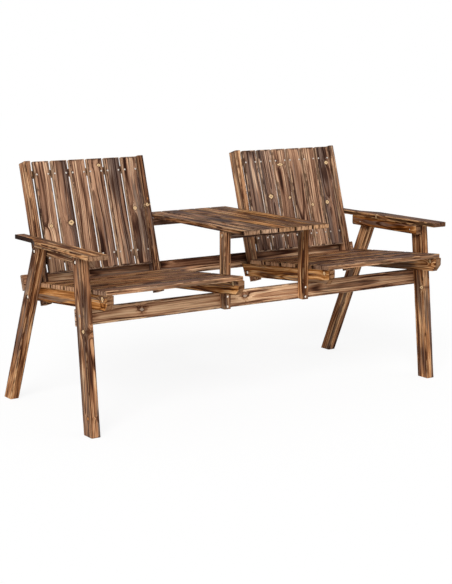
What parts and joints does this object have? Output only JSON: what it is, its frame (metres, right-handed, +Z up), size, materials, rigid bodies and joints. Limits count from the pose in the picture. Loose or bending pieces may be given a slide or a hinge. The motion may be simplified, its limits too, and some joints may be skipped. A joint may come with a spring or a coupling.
{
  "type": "companion seat bench",
  "caption": "Slatted wooden garden chairs with flat arms and splayed legs, joined into one bench by a slatted centre table.",
  "frame": {"origin": "middle of the ground rectangle under the bench, on the ground", "axes": "+X along the bench towards the right chair as seen from the front, +Y from the front to the back, +Z up"},
  "size_m": [1.636, 0.7698, 0.9215],
  "materials": {
    "carbonised_fir": "flame-charred softwood under a thin semi-matt varnish",
    "fixing_steel": "zinc plated",
    "barrel_zinc": "zinc plated"
  },
  "bodies": {
    "root": {"arm_bolts": "fixing_steel", "barrel_nuts": "barrel_zinc", "frame_screws": "fixing_steel", "front_stretcher": "carbonised_fir", "left_arm_rail": "carbonised_fir", "left_armrest": "carbonised_fir", "left_back_rail_lower": "carbonised_fir", "left_back_rail_upper": "carbonised_fir", "left_back_slat_1": "carbonised_fir", "left_back_slat_2": "carbonised_fir", "left_back_slat_3": "carbonised_fir", "left_back_slat_4": "carbonised_fir", "left_back_slat_5": "carbonised_fir", "left_back_slat_6": "carbonised_fir", "left_back_stile_inner": "carbonised_fir", "left_back_stile_outer": "carbonised_fir", "left_front_leg": "carbonised_fir", "left_rear_leg": "carbonised_fir", "left_seat_rail_inner": "carbonised_fir", "left_seat_rail_outer": "carbonised_fir", "left_seat_slat_1": "carbonised_fir", "left_seat_slat_2": "carbonised_fir", "left_seat_slat_3": "carbonised_fir", "left_seat_slat_4": "carbonised_fir", "left_seat_slat_5": "carbonised_fir", "left_table_post": "carbonised_fir", "rear_stretcher": "carbonised_fir", "right_arm_rail": "carbonised_fir", "right_armrest": "carbonised_fir", "right_back_rail_lower": "carbonised_fir", "right_back_rail_upper": "carbonised_fir", "right_back_slat_1": "carbonised_fir", "right_back_slat_2": "carbonised_fir", "right_back_slat_3": "carbonised_fir", "right_back_slat_4": "carbonised_fir", "right_back_slat_5": "carbonised_fir", "right_back_slat_6": "carbonised_fir", "right_back_stile_inner": "carbonised_fir", "right_back_stile_outer": "carbonised_fir", "right_front_leg": "carbonised_fir", "right_rear_leg": "carbonised_fir", "right_seat_rail_inner": "carbonised_fir", "right_seat_rail_outer": "carbonised_fir", "right_seat_slat_1": "carbonised_fir", "right_seat_slat_2": "carbonised_fir", "right_seat_slat_3": "carbonised_fir", "right_seat_slat_4": "carbonised_fir", "right_seat_slat_5": "carbonised_fir", "right_table_post": "carbonised_fir", "seat_bolts_inner": "fixing_steel", "seat_bolts_outer": "fixing_steel", "slat_screws": "fixing_steel", "stretcher_bolts": "fixing_steel", "table_board_1": "carbonised_fir", "table_board_2": "carbonised_fir", "table_board_3": "carbonised_fir", "table_board_4": "carbonised_fir", "table_board_5": "carbonised_fir", "table_rail_front": "carbonised_fir", "table_rail_rear": "carbonised_fir"}
  },
  "joints": []
}
